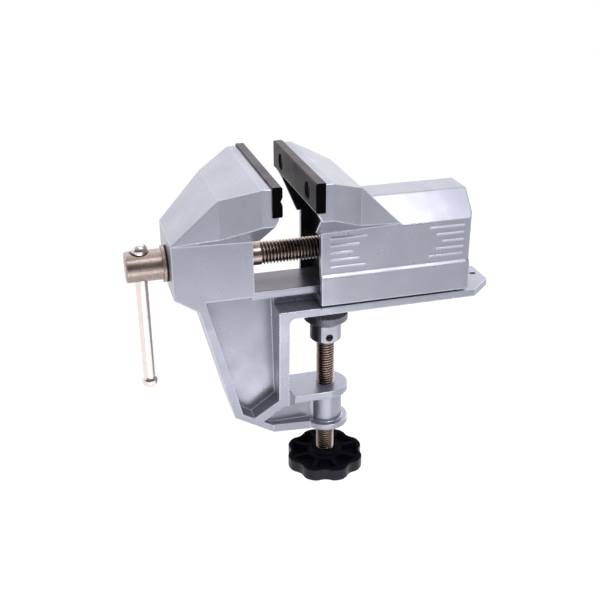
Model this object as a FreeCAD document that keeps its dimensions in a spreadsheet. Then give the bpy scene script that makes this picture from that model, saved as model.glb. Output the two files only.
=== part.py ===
"""Clamp-on bench vise, in millimetres.

The frame is one casting: fixed jaw, column, T rail, base plate and a ribbed C arm. A hollow movable jaw
slides on the rail and is drawn along by the main screw. A second screw with a knob clamps the frame to a
table top.

X runs along the main screw, from its handle towards the back of the slide. Y runs across the jaws and Z
is up. The origin is on the clamp screw's axis, in the face of the base plate that rests on the table.
"""
import FreeCAD, Part
import os
import re

import Sketcher
from FreeCAD import Placement, Rotation, Vector

# Driving dimensions. Heights are above the table face, reaches are from the clamp screw's axis.
SIZES = {
    # jaw plates
    "jaw_width": 80.0,
    "jaw_top": 77.1,
    "jaw_opening": 15.9,
    "fixed_reach": 33.4,
    "plate_tall": 14.5,
    "plate_thick": 4.75,
    "plate_bevel": 0.6,
    "groove_drop": 6.8,
    "groove_tall": 4.0,
    "groove_deep": 0.9,
    # screws of the jaw plates
    "plate_screw_inset": 15.0,
    "plate_screw_drop": 7.6,
    "plate_screw_radius": 2.5,
    "plate_screw_long": 12.0,
    "plate_screw_head_radius": 4.2,
    "plate_screw_head_tall": 2.0,
    "plate_screw_sunk": 1.0,
    "driver_slot_wide": 1.2,
    "driver_slot_deep": 1.1,
    # jaw castings, each size measured back from its plate or down from its own top
    "casting_drop": 0.9,
    "casting_inset": 0.7,
    "strip_long": 4.7,
    "bend_back": 22.6,
    "bend_drop": 7.6,
    "bend_half": 25.6,
    "nose_slope": 0.99,
    "skirt_drop": 18.2,
    "nose_lift": 1.25,
    "skirt_twist": 0.2,
    "ledge_front": 3.1,
    "ledge_tall": 1.7,
    "chin_front": 1.3,
    "chin_drop": 18.5,
    "throat_back": 1.9,
    "strip_rounding": 2.6,
    # column
    "column_gap": 9.9,
    "column_long": 40.2,
    "column_half_top": 19.3,
    "column_top": 44.1,
    "spindle_height": 29.9,
    "heel_high": 17.8,
    "heel_low": 10.0,
    "heel_in": 11.9,
    "heel_waist_reach": 69.9,
    "heel_waist_high": 4.4,
    # base plate and T rail
    "base_thick": 4.0,
    "base_half": 20.4,
    "base_back": 90.0,
    "base_end_half": 8.75,
    "base_taper": 12.6,
    "base_hole_radius": 2.0,
    "base_hole_inset": 4.4,
    "rail_half": 12.35,
    "rail_under": 9.5,
    "rail_flange": 4.0,
    "neck_half": 7.0,
    "rail_back": 52.0,
    # C arm
    "arm_outer_top": 69.5,
    "arm_shoulder": 1.8,
    "arm_outer_low": 55.3,
    "arm_outer_low_drop": 55.9,
    "arm_corner": 33.9,
    "arm_corner_drop": 69.2,
    "arm_low_half": 15.7,
    "rim_thick": 4.5,
    "mouth_reach": 25.4,
    "inner_rim_thick": 5.5,
    "web_half": 3.0,
    "web_spread": 0.0615,
    "recess_top": 14.7,
    "recess_corner_rise": 1.5,
    "strut_slope": 0.67,
    "strut_start_drop": 49.2,
    "tongue_drop": 51.3,
    "tongue_thick": 4.1,
    "tongue_half": 12.3,
    "shoulder_half": 17.0,
    "gusset_rise": 8.3,
    "gusset_long": 4.7,
    "boss_radius": 9.2,
    "ring_radius": 12.6,
    "ring_low_drop": 75.8,
    "ring_thick": 3.2,
    "foot_low_drop": 74.8,
    "foot_thick": 4.5,
    "foot_narrow_reach": 12.0,
    "foot_end_long": 1.6,
    "foot_end_half": 4.0,
    "foot_web_wide": 13.2,
    "foot_web_narrow": 3.5,
    "foot_peak_in": 3.5,
    "foot_peak_reach": 20.7,
    "mouth_rounding": 3.2,
    # movable jaw's slide housing
    "slide_front_gap": 8.7,
    "slide_long": 82.0,
    "slide_low": 5.8,
    "slide_low_half": 21.7,
    "slide_step_low": 21.0,
    "slide_step_high": 22.5,
    "slide_half": 20.3,
    "slide_shoulder": 44.8,
    "slide_roof": 57.9,
    "slide_roof_half": 8.45,
    "slide_wall": 3.0,
    "slide_end_rounding": 3.0,
    "slide_rounding": 1.0,
    "hood_wall": 2.6,
    "hood_flank_wall": 3.25,
    "hood_ceiling_drop": 15.2,
    "grip_tall": 0.7,
    "grip_proud": 0.5,
    "grip_first": 25.75,
    "grip_pitch": 3.9,
    "grip_front_inset": 4.8,
    "grip_rear_inset": 5.0,
    "grip_long": 19.1,
    "grip_step": 3.75,
    # nut of the main screw
    "nut_radius": 10.0,
    "nut_front_inset": 6.8,
    "nut_long": 16.0,
    "nut_pin_radius": 2.5,
    "nut_pin_in": 3.0,
    # main screw
    "screw_radius": 6.0,
    "screw_back": 52.0,
    "head_radius": 7.9,
    "head_long": 18.3,
    "head_bevel": 0.6,
    "bar_inset": 7.5,
    "bar_seat_radius": 5.2,
    "bar_seat_deep": 3.2,
    "bronze_radius": 9.4,
    "bronze_thick": 1.4,
    "fibre_radius": 9.2,
    "fibre_thick": 0.9,
    "retainer_radius": 2.5,
    "retainer_back": 5.5,
    "retainer_low": 14.8,
    "dog_radius": 1.7,
    "dog_long": 2.2,
    "groove_long": 4.2,
    "groove_radius": 4.7,
    # tommy bar
    "bar_radius": 3.2,
    "bar_drop": 73.1,
    "cap_radius": 4.25,
    "upper_cap_rise": 0.3,
    # clamp screw
    "clamp_radius": 5.0,
    "clamp_end_in": 1.6,
    "spigot_radius": 4.0,
    "spigot_long": 13.4,
    "spigot_groove_radius": 3.2,
    "spigot_groove_long": 3.0,
    "clamp_hex_radius": 6.9,
    "clamp_hex_tall": 5.0,
    "screw_bevel": 1.0,
    # swivel pad
    "pad_drop": 7.3,
    "pad_radius": 12.05,
    "pad_band": 4.0,
    "pad_cone_tall": 2.5,
    "pad_body_radius": 8.6,
    "pad_tall": 16.9,
    "pad_flat": 7.3,
    "pad_rounding": 1.3,
    "grub_radius": 2.0,
    "grub_drop": 20.7,
    "grub_slot_wide": 0.8,
    "grub_slot_deep": 0.9,
    "grub_sunk": 0.3,
    "grub_dog_radius": 1.15,
    "serration_pitch": 1.6,
    "serration_land": 0.32,
    "serration_deep": 0.6,
    # knob
    "knob_radius": 22.1,
    "knob_valley_radius": 20.0,
    "knob_scallop_radius": 7.0,
    "knob_lobe_rounding": 6.5,
    "knob_turn": 29.4,
    "knob_top_drop": 96.6,
    "knob_tall": 8.0,
    "knob_hub_radius": 8.7,
    "knob_hub_tall": 2.5,
    "knob_pocket_inner": 10.0,
    "knob_pocket_outer": 18.4,
    "knob_pocket_low_half": 3.15,
    "knob_pocket_high_half": 6.6,
    "knob_pocket_deep": 4.5,
    "knob_edge": 1.2,
    # fits and gaps
    "running_fit": 0.05,
    "bolt_clearance": 0.25,
    "rail_clearance": 0.35,
    "free_gap": 0.35,
}

# Places that follow from the driving dimensions.
PLACES = {
    "fixed_face": "-fixed_reach",
    "fixed_rear": "fixed_face - plate_thick",
    "moving_face": "fixed_face + jaw_opening",
    "moving_rear": "moving_face + plate_thick",
    "plate_low": "jaw_top - plate_tall",
    "plate_screw_height": "jaw_top - plate_screw_drop",
    "plate_screw_half": "jaw_width / 2 - plate_screw_inset",
    "casting_top": "jaw_top - casting_drop",
    "casting_half": "jaw_width / 2 - casting_inset",
    "skirt_low": "casting_top - skirt_drop",
    "column_front": "fixed_face - column_gap",
    "column_back": "column_front - column_long",
    "rail_top": "rail_under + rail_flange",
    "slide_front": "moving_face + slide_front_gap",
    "slide_back": "slide_front + slide_long",
    "slide_inner_half": "slide_half - slide_wall",
    "inner_rim": "-mouth_reach - inner_rim_thick",
    "arm_lean": "(arm_outer_top - arm_outer_low) / (arm_outer_low_drop + arm_shoulder)",
    "skirt_slope": "(skirt_low - slide_shoulder) / (casting_half - slide_half)",
    "corner_lean": "(arm_corner_drop - arm_outer_low_drop) / (arm_outer_low - arm_corner)",
    "foot_lean": "(foot_low_drop - arm_corner_drop) / arm_corner",
    "recess_top_x": "-arm_outer_top + rim_thick - (recess_top - arm_shoulder) * arm_lean",
    "recess_low_x": "-arm_outer_low + rim_thick",
    "recess_low_z": "-arm_outer_low_drop + recess_corner_rise",
    "strut_reach": "recess_low_z + corner_lean * recess_low_x + strut_slope * inner_rim",
    "strut_upper_x": "(strut_reach + strut_start_drop) / (strut_slope + corner_lean)",
    "strut_lower_x": "(strut_reach + tongue_drop + tongue_thick) / (strut_slope + corner_lean)",
    "foot_inner_x": "(recess_low_z + corner_lean * recess_low_x + foot_low_drop - foot_thick)"
                    " / (corner_lean - foot_lean)",
    "nut_front": "slide_front + nut_front_inset",
    "nut_back": "nut_front + nut_long",
    "head_front": "column_back - fibre_thick - bronze_thick",
    "head_back": "head_front - head_long",
    "bar_place": "head_back + bar_inset",
    "upper_cap_height": "spindle_height + head_radius + upper_cap_rise",
    "lower_cap_height": "upper_cap_height - bar_drop",
    "retainer_place": "column_back + retainer_back",
    "tongue_low": "-tongue_drop - tongue_thick",
    "pad_low": "-pad_drop - pad_tall",
    "spigot_top": "pad_low - free_gap + spigot_long",
    "knob_low": "-knob_top_drop - knob_tall",
    "clamp_low": "knob_low + clamp_end_in",
}

# How many of a kind there are.
GRIP_ROWS = 5
KNOB_LOBES = 8

doc = FreeCAD.newDocument("bench_vise")


def make_sheet(name, cells, wrap):
    """A sheet with one row for each name: the name in column A, its value in column B."""
    sheet = doc.addObject("Spreadsheet::Sheet", name)
    for row, (alias, value) in enumerate(cells.items(), 1):
        sheet.set(f"A{row}", alias)
        sheet.set(f"B{row}", wrap(value))
        sheet.setAlias(f"B{row}", alias)
    doc.recompute()
    return sheet


def bound(rule):
    """The rule with every named size written as a cell of its sheet."""
    def cell(match):
        word = match.group()
        if word in SIZES:
            return f"Sizes.{word}"
        return f"Places.{word}" if word in PLACES else word
    return re.sub(r"[a-z]\w*", cell, rule)


sizes_sheet = make_sheet("Sizes", SIZES, str)
make_sheet("Places", PLACES, lambda rule: "=" + re.sub(
    r"[a-z]\w*", lambda match: f"Sizes.{match.group()}" if match.group() in SIZES else match.group(), rule))


def amount(rule):
    """What a rule comes to with the sheets as they are."""
    return float(sizes_sheet.evalExpression(bound(rule)))


# ---------------------------------------------------------------- sketches and features

def new_body(label):
    body = doc.addObject("PartDesign::Body", label)
    body.Label = label
    return body


def sketch_on(body, role, offset="0"):
    """An empty sketch on one of the body's own origin planes, moved along the plane's normal."""
    sketch = body.newObject("Sketcher::SketchObject", "Sketch")
    plane = next(feature for feature in body.Origin.OriginFeatures if feature.Role == role)
    sketch.AttachmentSupport = (plane, [""])
    sketch.MapMode = "FlatFace"
    sketch.setExpression(".AttachmentOffset.Base.z", bound(offset))
    return sketch


def hold(sketch, kind, *place, rule):
    index = sketch.addConstraint(Sketcher.Constraint(kind, *place, amount(rule)))
    sketch.setExpression(f"Constraints[{index}]", bound(rule))


def outline(sketch, corners):
    """A closed outline of straight lines, each corner held at its own two lengths from the origin."""
    first = sketch.GeometryCount
    spots = [Vector(amount(across), amount(up), 0) for across, up in corners]
    count = len(spots)
    for index in range(count):
        sketch.addGeometry(Part.LineSegment(spots[index], spots[(index + 1) % count]), False)
    for index in range(count):
        after = first + (index + 1) % count
        sketch.addConstraint(Sketcher.Constraint("Coincident", first + index, 2, after, 1))
    for index, (across, up) in enumerate(corners):
        hold(sketch, "DistanceX", -1, 1, first + index, 1, rule=across)
        hold(sketch, "DistanceY", -1, 1, first + index, 1, rule=up)


def ring(sketch, across, up, radius):
    centre = Vector(amount(across), amount(up), 0)
    index = sketch.addGeometry(Part.Circle(centre, Vector(0, 0, 1), amount(radius)), False)
    hold(sketch, "Radius", index, rule=radius)
    hold(sketch, "DistanceX", -1, 1, index, 3, rule=across)
    hold(sketch, "DistanceY", -1, 1, index, 3, rule=up)


def mirrored(corners):
    """The same corners on the other side of the sketch's upright axis."""
    return [(f"-({across})", up) for across, up in corners]


def both_halves(corners):
    """A closed outline from its right half, given from one end of the upright axis to the other."""
    return corners + mirrored(corners)[::-1]


def feature_of(body, kind, profile, length=None, both_ways=False, backwards=False):
    feature = body.newObject(f"PartDesign::{kind}", kind)
    feature.Profile = profile
    feature.SideType = "Symmetric" if both_ways else "One side"
    feature.Reversed = backwards
    if length is None:
        feature.Type = "ThroughAll"
    else:
        feature.setExpression("Length", bound(length))
    return feature


def pad(body, profile, length, **ways):
    return feature_of(body, "Pad", profile, length, **ways)


def pocket(body, profile, length=None, **ways):
    """A pocket has to take material away, or its direction is wrong."""
    doc.recompute()
    before = body.Tip.Shape.Volume
    feature = feature_of(body, "Pocket", profile, length, **ways)
    doc.recompute()
    if not feature.Shape.Volume < before:
        raise ValueError(f"{body.Label}: {feature.Name} cuts nothing")
    return feature


def turned(body, sketch, axis="V_Axis"):
    feature = body.newObject("PartDesign::Revolution", "Revolution")
    feature.Profile = sketch
    feature.ReferenceAxis = (sketch, [axis])
    feature.Angle = 360
    return feature


def loft(body, kind, sketches):
    feature = body.newObject(f"PartDesign::{kind}", kind)
    feature.Profile = sketches[0]
    feature.Sections = sketches[1:]
    feature.Ruled = True
    return feature


def around_z(body, features, count):
    """The features repeated evenly about the Z axis of the body."""
    pattern = body.newObject("PartDesign::PolarPattern", "PolarPattern")
    pattern.Originals = features
    axis = next(feature for feature in body.Origin.OriginFeatures if feature.Role == "Z_Axis")
    pattern.Axis = (axis, [""])
    pattern.Angle = 360
    pattern.Occurrences = count
    body.Tip = pattern
    return pattern


def dress(body, kind, size, wanted):
    """A Fillet or Chamfer on every edge that the test wants."""
    doc.recompute()
    base = body.Tip
    names = [f"Edge{number}" for number, edge in enumerate(base.Shape.Edges, 1) if wanted(edge)]
    if not names:
        raise ValueError(f"{body.Label}: no edge to dress")
    feature = body.newObject(f"PartDesign::{kind}", kind)
    feature.Base = (base, names)
    feature.setExpression("Radius" if kind == "Fillet" else "Size", bound(size))
    return feature


# ---------------------------------------------------------------- plain solids and booleans

TURN = {
    "x": Rotation(Vector(0, 1, 0), 90),
    "y": Rotation(Vector(1, 0, 0), -90),
    "z": Rotation(),
}


def place(thing, spot, turn=Rotation()):
    thing.Placement = Placement(Vector(*(amount(rule) for rule in spot)), turn)
    for letter, rule in zip("xyz", spot):
        thing.setExpression(f".Placement.Base.{letter}", bound(rule))


def swing(thing, angle):
    """The thing turned about the Z axis by an angle in degrees."""
    thing.Placement = Placement(Vector(), Rotation(Vector(0, 0, 1), amount(angle)))
    thing.setExpression(".Placement.Rotation.Angle", bound(angle))
    return thing


def rod(label, axis, spot, radius, length):
    """A cylinder that starts at the spot and runs up its axis."""
    thing = doc.addObject("Part::Cylinder", label)
    thing.setExpression("Radius", bound(radius))
    thing.setExpression("Height", bound(length))
    place(thing, spot, TURN[axis])
    return thing


def cone(label, axis, spot, low_radius, high_radius, length):
    thing = doc.addObject("Part::Cone", label)
    thing.setExpression("Radius1", bound(low_radius))
    thing.setExpression("Radius2", bound(high_radius))
    thing.setExpression("Height", bound(length))
    place(thing, spot, TURN[axis])
    return thing


def block(label, spot, size):
    thing = doc.addObject("Part::Box", label)
    for side, rule in zip(("Length", "Width", "Height"), size):
        thing.setExpression(side, bound(rule))
    place(thing, spot)
    return thing


def ball(label, spot, radius):
    thing = doc.addObject("Part::Sphere", label)
    thing.setExpression("Radius", bound(radius))
    place(thing, spot)
    return thing


def joined(label, things):
    thing = doc.addObject("Part::MultiFuse", label)
    thing.Shapes = things
    thing.Refine = True
    return thing


def less(label, base, things):
    """The base with the other things cut out of it."""
    thing = doc.addObject("Part::Cut", label)
    thing.Base = base
    thing.Tool = things[0] if len(things) == 1 else joined(f"{label}_cuts", things)
    thing.Refine = True
    return thing


# ---------------------------------------------------------------- tests for edges

NEAR = 0.02


def ends(edge):
    return [vertex.Point for vertex in edge.Vertexes]


def middle(edge):
    return edge.valueAt((edge.FirstParameter + edge.LastParameter) / 2)


def at(value, rule):
    return abs(value - amount(rule)) < NEAR


def straight(edge):
    return isinstance(edge.Curve, Part.Line) and len(edge.Vertexes) == 2


def along(edge, letter):
    """Whether a straight edge runs parallel to the axis of that letter."""
    if not straight(edge):
        return False
    first, last = ends(edge)
    run = last - first
    return abs(abs(getattr(run, letter)) - run.Length) < NEAR


# ---------------------------------------------------------------- jaw plates and their screws

def jaw_plate(label, face, out, grooved):
    """A hard plate whose gripping face is at the given place, with its casting in the direction out."""
    step = "+" if out > 0 else "-"
    rear = f"{face} {step} plate_thick"
    corners = [
        (face, "plate_low + plate_bevel"),
        (f"{face} {step} plate_bevel", "plate_low"),
        (rear, "plate_low"),
        (rear, "jaw_top"),
        (f"{face} {step} plate_bevel", "jaw_top"),
        (face, "jaw_top - plate_bevel"),
    ]
    if grooved:
        corners += [
            (face, "jaw_top - groove_drop + groove_tall / 2"),
            (f"{face} {step} groove_deep", "jaw_top - groove_drop"),
            (face, "jaw_top - groove_drop - groove_tall / 2"),
        ]
    body = new_body(label)
    profile = sketch_on(body, "XZ_Plane")
    outline(profile, corners)
    pad(body, profile, "jaw_width", both_ways=True)
    for radius, deep in (
            ("plate_screw_head_radius + bolt_clearance", "plate_screw_head_tall + plate_screw_sunk"),
            ("plate_screw_radius + bolt_clearance", None)):
        holes = sketch_on(body, "YZ_Plane", face)
        for side in ("", "-"):
            ring(holes, f"{side}plate_screw_half", "plate_screw_height", radius)
        pocket(body, holes, deep, backwards=out > 0)
    return body


def jaw_plate_screw(label, face, out, side):
    """A slotted cheese-head screw, seated on the floor of the plate's counterbore."""
    step = "+" if out > 0 else "-"
    centre = f"{side}plate_screw_half"
    seat = f"{face} {step} (plate_screw_sunk + plate_screw_head_tall)"
    low_head = seat if out < 0 else f"{seat} - plate_screw_head_tall"
    low_shank = f"{seat} - plate_screw_long" if out < 0 else seat
    head = rod(f"{label}_head", "x", (low_head, centre, "plate_screw_height"), "plate_screw_head_radius",
               "plate_screw_head_tall")
    shank = rod(f"{label}_shank", "x", (low_shank, centre, "plate_screw_height"), "plate_screw_radius",
                "plate_screw_long")
    slot_start = f"{face} {step} plate_screw_sunk"
    slot = block(f"{label}_slot",
                 (slot_start if out > 0 else f"{slot_start} - driver_slot_deep",
                  f"{centre} - driver_slot_wide / 2", "plate_screw_height - plate_screw_head_radius"),
                 ("driver_slot_deep", "driver_slot_wide", "2 * plate_screw_head_radius"))
    return less(label, joined(f"{label}_blank", [head, shank]), [slot])


def jaw_screw_holes(label, rear, out):
    """Tapped holes behind a plate, a little deeper than the screws reach."""
    deep = "plate_screw_long"
    start = rear if out > 0 else f"{rear} - {deep}"
    return [rod(f"{label}_{name}", "x", (start, f"{side}plate_screw_half", "plate_screw_height"),
                "plate_screw_radius + running_fit", deep)
            for name, side in (("near", "-"), ("far", ""))]


# ---------------------------------------------------------------- jaw casting, the same shape on both sides

def jaw_head(label, rear, out, root_half, root_top, nose_end, blunt):
    """The tapered head behind a plate: side view, then plan view, then the two slopes under its sides.

    Its steep end runs down to root_top, or is blunt: cut off where the head ends.
    """
    step = "+" if out > 0 else "-"
    fore = "-" if out > 0 else "+"
    body = new_body(label)
    side_view = sketch_on(body, "XZ_Plane")
    nose = [(f"{rear} {step} ({nose_end})", root_top)]
    if blunt:
        nose_height = f"casting_top - bend_drop - ({nose_end} - bend_back) * nose_slope"
        nose.insert(0, (f"{rear} {step} ({nose_end})", nose_height))
    outline(side_view, [
        (rear, "casting_top"),
        (f"{rear} {step} strip_long", "casting_top"),
        (f"{rear} {step} bend_back", "casting_top - bend_drop"),
        *nose,
        (f"{rear} {step} throat_back", root_top),
        (f"{rear} {fore} chin_front", "casting_top - chin_drop"),
        (f"{rear} {fore} ledge_front", "plate_low - ledge_tall"),
        (f"{rear} {fore} ledge_front", "plate_low"),
        (rear, "plate_low"),
    ])
    pad(body, side_view, "2 * casting_half", both_ways=True)
    plan = sketch_on(body, "XY_Plane")
    beyond = f"{rear} {step} ({nose_end} + bend_back)"
    flank = [
        (f"{rear} {step} strip_long", "casting_half"),
        (f"{rear} {step} bend_back", "bend_half"),
        (f"{rear} {step} ({nose_end})", root_half),
        (beyond, root_half),
        (beyond, "2 * casting_half"),
        (f"{rear} {step} strip_long", "2 * casting_half"),
    ]
    outline(plan, flank)
    outline(plan, [(lengthways, f"-({across})") for lengthways, across in flank])
    pocket(body, plan, both_ways=True)
    slope = [
        (root_half, root_top),
        ("casting_half", "skirt_low"),
        ("2 * casting_half", "skirt_low"),
        ("2 * casting_half", f"{root_top} - skirt_drop"),
        (root_half, f"{root_top} - skirt_drop"),
    ]
    under = sketch_on(body, "YZ_Plane")
    outline(under, slope)
    outline(under, mirrored(slope))
    pocket(body, under, both_ways=True)
    for flip in (list, mirrored):
        sections = []
        for distance, lift in (("column_gap - plate_thick", "0"), (nose_end, "nose_lift")):
            section = sketch_on(body, "YZ_Plane", f"{rear} {step} ({distance})")
            outline(section, flip([
                (root_half, f"{root_top} + {lift}"),
                ("casting_half", f"skirt_low - skirt_twist + {lift}"),
                ("2 * casting_half", f"skirt_low - skirt_twist + {lift}"),
                ("2 * casting_half", f"{root_top} - skirt_drop"),
                (root_half, f"{root_top} - skirt_drop"),
            ]))
            sections.append(section)
        loft(body, "SubtractiveLoft", sections)
    strip_end = f"{rear} {step} strip_long"
    dress(body, "Fillet", "strip_rounding",
          lambda edge: along(edge, "z") and at(middle(edge).x, strip_end)
          and at(abs(middle(edge).y), "casting_half"))
    return body


# ---------------------------------------------------------------- the frame casting

def web_stretch(label, start, finish, low, high):
    """A length of the arm's middle web, which grows thicker downwards."""
    body = new_body(label)
    section = sketch_on(body, "YZ_Plane", start)
    outline(section, both_halves([(f"web_half + (recess_top - ({height})) * web_spread", height)
                                  for height in (low, high)]))
    pad(body, section, f"{finish} - ({start})")
    return body


def upright_web():
    return web_stretch("upright_web", "column_back", "0", "-foot_low_drop", "column_top")


def foot_web():
    """The web in the foot, a wedge that grows thinner towards the boss."""
    body = new_body("foot_web")
    plan = sketch_on(body, "XY_Plane", "-foot_low_drop")
    outline(plan, [
        ("strut_lower_x", "foot_web_wide"),
        ("0", "foot_web_narrow"),
        ("0", "-foot_web_narrow"),
        ("strut_lower_x", "-foot_web_wide"),
    ])
    pad(body, plan, "foot_low_drop")
    return body


def arm_recesses():
    """What the hollows on both sides of the web take away: one in the upright, one in the foot."""
    hollows = []
    for name, web, corners in (
            ("upright", upright_web, [
                ("recess_top_x", "recess_top"),
                ("column_front", "recess_top"),
                ("column_front", "2 * base_thick"),
                ("inner_rim", "2 * base_thick"),
                ("inner_rim", "-strut_start_drop"),
                ("strut_upper_x", "-strut_start_drop + strut_slope * (strut_upper_x - inner_rim)"),
                ("recess_low_x", "recess_low_z"),
            ]),
            ("foot", foot_web, [
                ("inner_rim + foot_peak_in", "tongue_low + strut_slope * foot_peak_in"),
                ("-foot_peak_reach", "tongue_low"),
                ("0", "tongue_low"),
                ("0", "-foot_low_drop + foot_thick"),
                ("foot_inner_x", "-foot_low_drop + foot_thick - foot_lean * foot_inner_x"),
                ("strut_lower_x", "tongue_low + strut_slope * (strut_lower_x - inner_rim)"),
            ])):
        through = new_body(f"{name}_recess_outline")
        side_view = sketch_on(through, "XZ_Plane")
        outline(side_view, corners)
        pad(through, side_view, "4 * base_half", both_ways=True)
        hollows.append(less(f"{name}_recess", through, [web()]))
    return hollows


def arm_and_column():
    """Column and C arm from one side view, narrowed towards top and bottom and hollowed on both sides."""
    body = new_body("arm_outside")
    side_view = sketch_on(body, "XZ_Plane")
    outline(side_view, [
        ("column_back", "column_top"),
        ("column_front", "column_top"),
        ("column_front", "base_thick"),
        ("-mouth_reach + 2 * mouth_rounding", "base_thick"),
        ("-mouth_reach + 2 * mouth_rounding", "0"),
        ("-mouth_reach", "0"),
        ("-mouth_reach", "-tongue_drop"),
        ("0", "-tongue_drop"),
        ("0", "-foot_low_drop"),
        ("-arm_corner", "-arm_corner_drop"),
        ("-arm_outer_low", "-arm_outer_low_drop"),
        ("-arm_outer_top", "arm_shoulder"),
        ("-heel_waist_reach", "heel_waist_high"),
        ("column_back + heel_in", "heel_low"),
        ("column_back", "heel_high"),
    ])
    pad(body, side_view, "2 * base_half", both_ways=True)
    dress(body, "Fillet", "mouth_rounding",
          lambda edge: along(edge, "y") and at(middle(edge).x, "-mouth_reach") and at(middle(edge).z, "0"))
    narrow = [
        ("base_half", "0"),
        ("column_half_top", "column_top"),
        ("2 * base_half", "column_top"),
        ("2 * base_half", "-2 * foot_low_drop"),
        ("base_half - 2 * (base_half - arm_low_half)", "-2 * arm_corner_drop"),
    ]
    front_view = sketch_on(body, "YZ_Plane")
    outline(front_view, narrow)
    outline(front_view, mirrored(narrow))
    pocket(body, front_view, both_ways=True)
    for top, low, slope in (
            ("-tongue_drop", "2 * tongue_thick", [
                ("-mouth_reach", "shoulder_half"),
                ("-mouth_reach + gusset_long", "tongue_half"),
            ]),
            ("tongue_low", "foot_low_drop", [
                ("-arm_corner", "arm_low_half"),
                ("-foot_narrow_reach", "tongue_half"),
                ("-foot_narrow_reach + foot_end_long", "foot_end_half"),
            ])):
        start, finish = slope[0][0], slope[-1][1]
        flank = [
            *slope,
            ("base_half", finish),
            ("base_half", "2 * base_half"),
            (start, "2 * base_half"),
        ]
        plan = sketch_on(body, "XY_Plane", top)
        outline(plan, flank)
        outline(plan, [(lengthways, f"-({across})") for lengthways, across in flank])
        pocket(body, plan, low)
    return less("arm_and_column", body, arm_recesses())


def gusset(label, side):
    """The small slope where the arm's tongue meets the upright, on one side."""
    sign = "" if side > 0 else "-"
    body = new_body(label)
    slope = sketch_on(body, "XZ_Plane", f"-({sign}tongue_half)")
    outline(slope, [
        ("-mouth_reach", "-tongue_drop"),
        ("-mouth_reach", "-tongue_drop + gusset_rise"),
        ("-mouth_reach + gusset_long", "-tongue_drop"),
    ])
    pad(body, slope, "shoulder_half - tongue_half", backwards=side > 0)
    plan = sketch_on(body, "XY_Plane", "-tongue_drop + gusset_rise")
    outline(plan, [
        ("-mouth_reach", f"{sign}shoulder_half"),
        ("-mouth_reach + gusset_long", f"{sign}tongue_half"),
        ("-mouth_reach + gusset_long", f"{sign}2 * shoulder_half"),
        ("-mouth_reach", f"{sign}2 * shoulder_half"),
    ])
    pocket(body, plan, "gusset_rise")
    return body


def base_and_rail():
    """The base plate on the table top, and the T rail that the movable jaw slides on."""
    plate = new_body("base_plate")
    plan = sketch_on(plate, "XY_Plane")
    outline(plan, [
        ("inner_rim", "base_half"),
        ("base_back - base_taper", "base_half"),
        ("base_back", "base_end_half"),
        ("base_back", "-base_end_half"),
        ("base_back - base_taper", "-base_half"),
        ("inner_rim", "-base_half"),
    ])
    pad(plate, plan, "base_thick")
    flange = block("rail_flange", ("column_front", "-rail_half", "rail_under"),
                   ("rail_back - column_front", "2 * rail_half", "rail_flange"))
    neck = block("rail_neck", ("inner_rim", "-neck_half", "0"),
                 ("rail_back - inner_rim", "2 * neck_half", "rail_under"))
    return [plate, flange, neck, web_stretch("rail_web", "column_front", "inner_rim", "0", "rail_under")]


def frame_casting():
    head = jaw_head("fixed_jaw_head", "fixed_rear", -1, "column_half_top", "column_top",
                    "column_gap - plate_thick + column_long", blunt=True)
    tongue = rod("tongue_end", "z", ("0", "0", "tongue_low"), "tongue_half", "tongue_thick")
    boss = rod("boss", "z", ("0", "0", "-ring_low_drop"), "boss_radius", "ring_low_drop - tongue_drop")
    ring_plate = rod("boss_ring", "z", ("0", "0", "-ring_low_drop"), "ring_radius", "ring_thick")
    gussets = [gusset("gusset_far", 1), gusset("gusset_near", -1)]
    whole = joined("frame_blank", [arm_and_column(), *gussets, head, tongue, boss, ring_plate,
                                   *base_and_rail()])
    spindle_bore = rod("spindle_bore", "x", ("column_back - free_gap", "0", "spindle_height"),
                       "screw_radius + running_fit", "column_long + 2 * free_gap")
    clamp_bore = rod("clamp_bore", "z", ("0", "0", "-ring_low_drop - free_gap"),
                     "clamp_radius + running_fit", "ring_low_drop - tongue_drop + 2 * free_gap")
    retainer_bore = rod("retainer_bore", "z", ("retainer_place", "0", "0"),
                        "retainer_radius + running_fit", "spindle_height")
    base_hole = rod("base_hole", "z", ("base_back - base_hole_inset", "0", "-base_thick"),
                    "base_hole_radius", "3 * base_thick")
    return less("vise_frame", whole, [spindle_bore, clamp_bore, retainer_bore, base_hole,
                                      *jaw_screw_holes("fixed_screw_hole", "fixed_rear", -1)])


# ---------------------------------------------------------------- the movable jaw casting

def slide_housing():
    """The outside of the housing over the rail, with its raised grip lines."""
    body = new_body("slide_housing")
    section = sketch_on(body, "YZ_Plane", "slide_front")
    outline(section, both_halves([
        ("slide_low_half", "slide_low"),
        ("slide_low_half", "slide_step_low"),
        ("slide_half", "slide_step_high"),
        ("slide_half", "slide_shoulder"),
        ("slide_roof_half", "slide_roof"),
    ]))
    pad(body, section, "slide_long")
    dress(body, "Fillet", "slide_end_rounding",
          lambda edge: at(middle(edge).x, "slide_back")
          and abs(middle(edge).y) > amount("slide_half") - NEAR)
    dress(body, "Fillet", "slide_rounding",
          lambda edge: along(edge, "x") and at(middle(edge).z, "slide_roof"))
    lines = sketch_on(body, "XZ_Plane")
    front = "slide_front + grip_front_inset"
    rear = "slide_back - grip_rear_inset"
    for row in range(GRIP_ROWS):
        low = f"grip_first + {row} * grip_pitch"
        long = f"grip_long - grip_step * {GRIP_ROWS // 2 - abs(row - GRIP_ROWS // 2)}"
        for start, finish in ((front, f"{front} + {long}"), (f"{rear} - ({long})", rear)):
            outline(lines, [(start, low), (finish, low), (finish, f"{low} + grip_tall"),
                            (start, f"{low} + grip_tall")])
    pad(body, lines, "2 * (slide_half + grip_proud)", both_ways=True)
    return body


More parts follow.
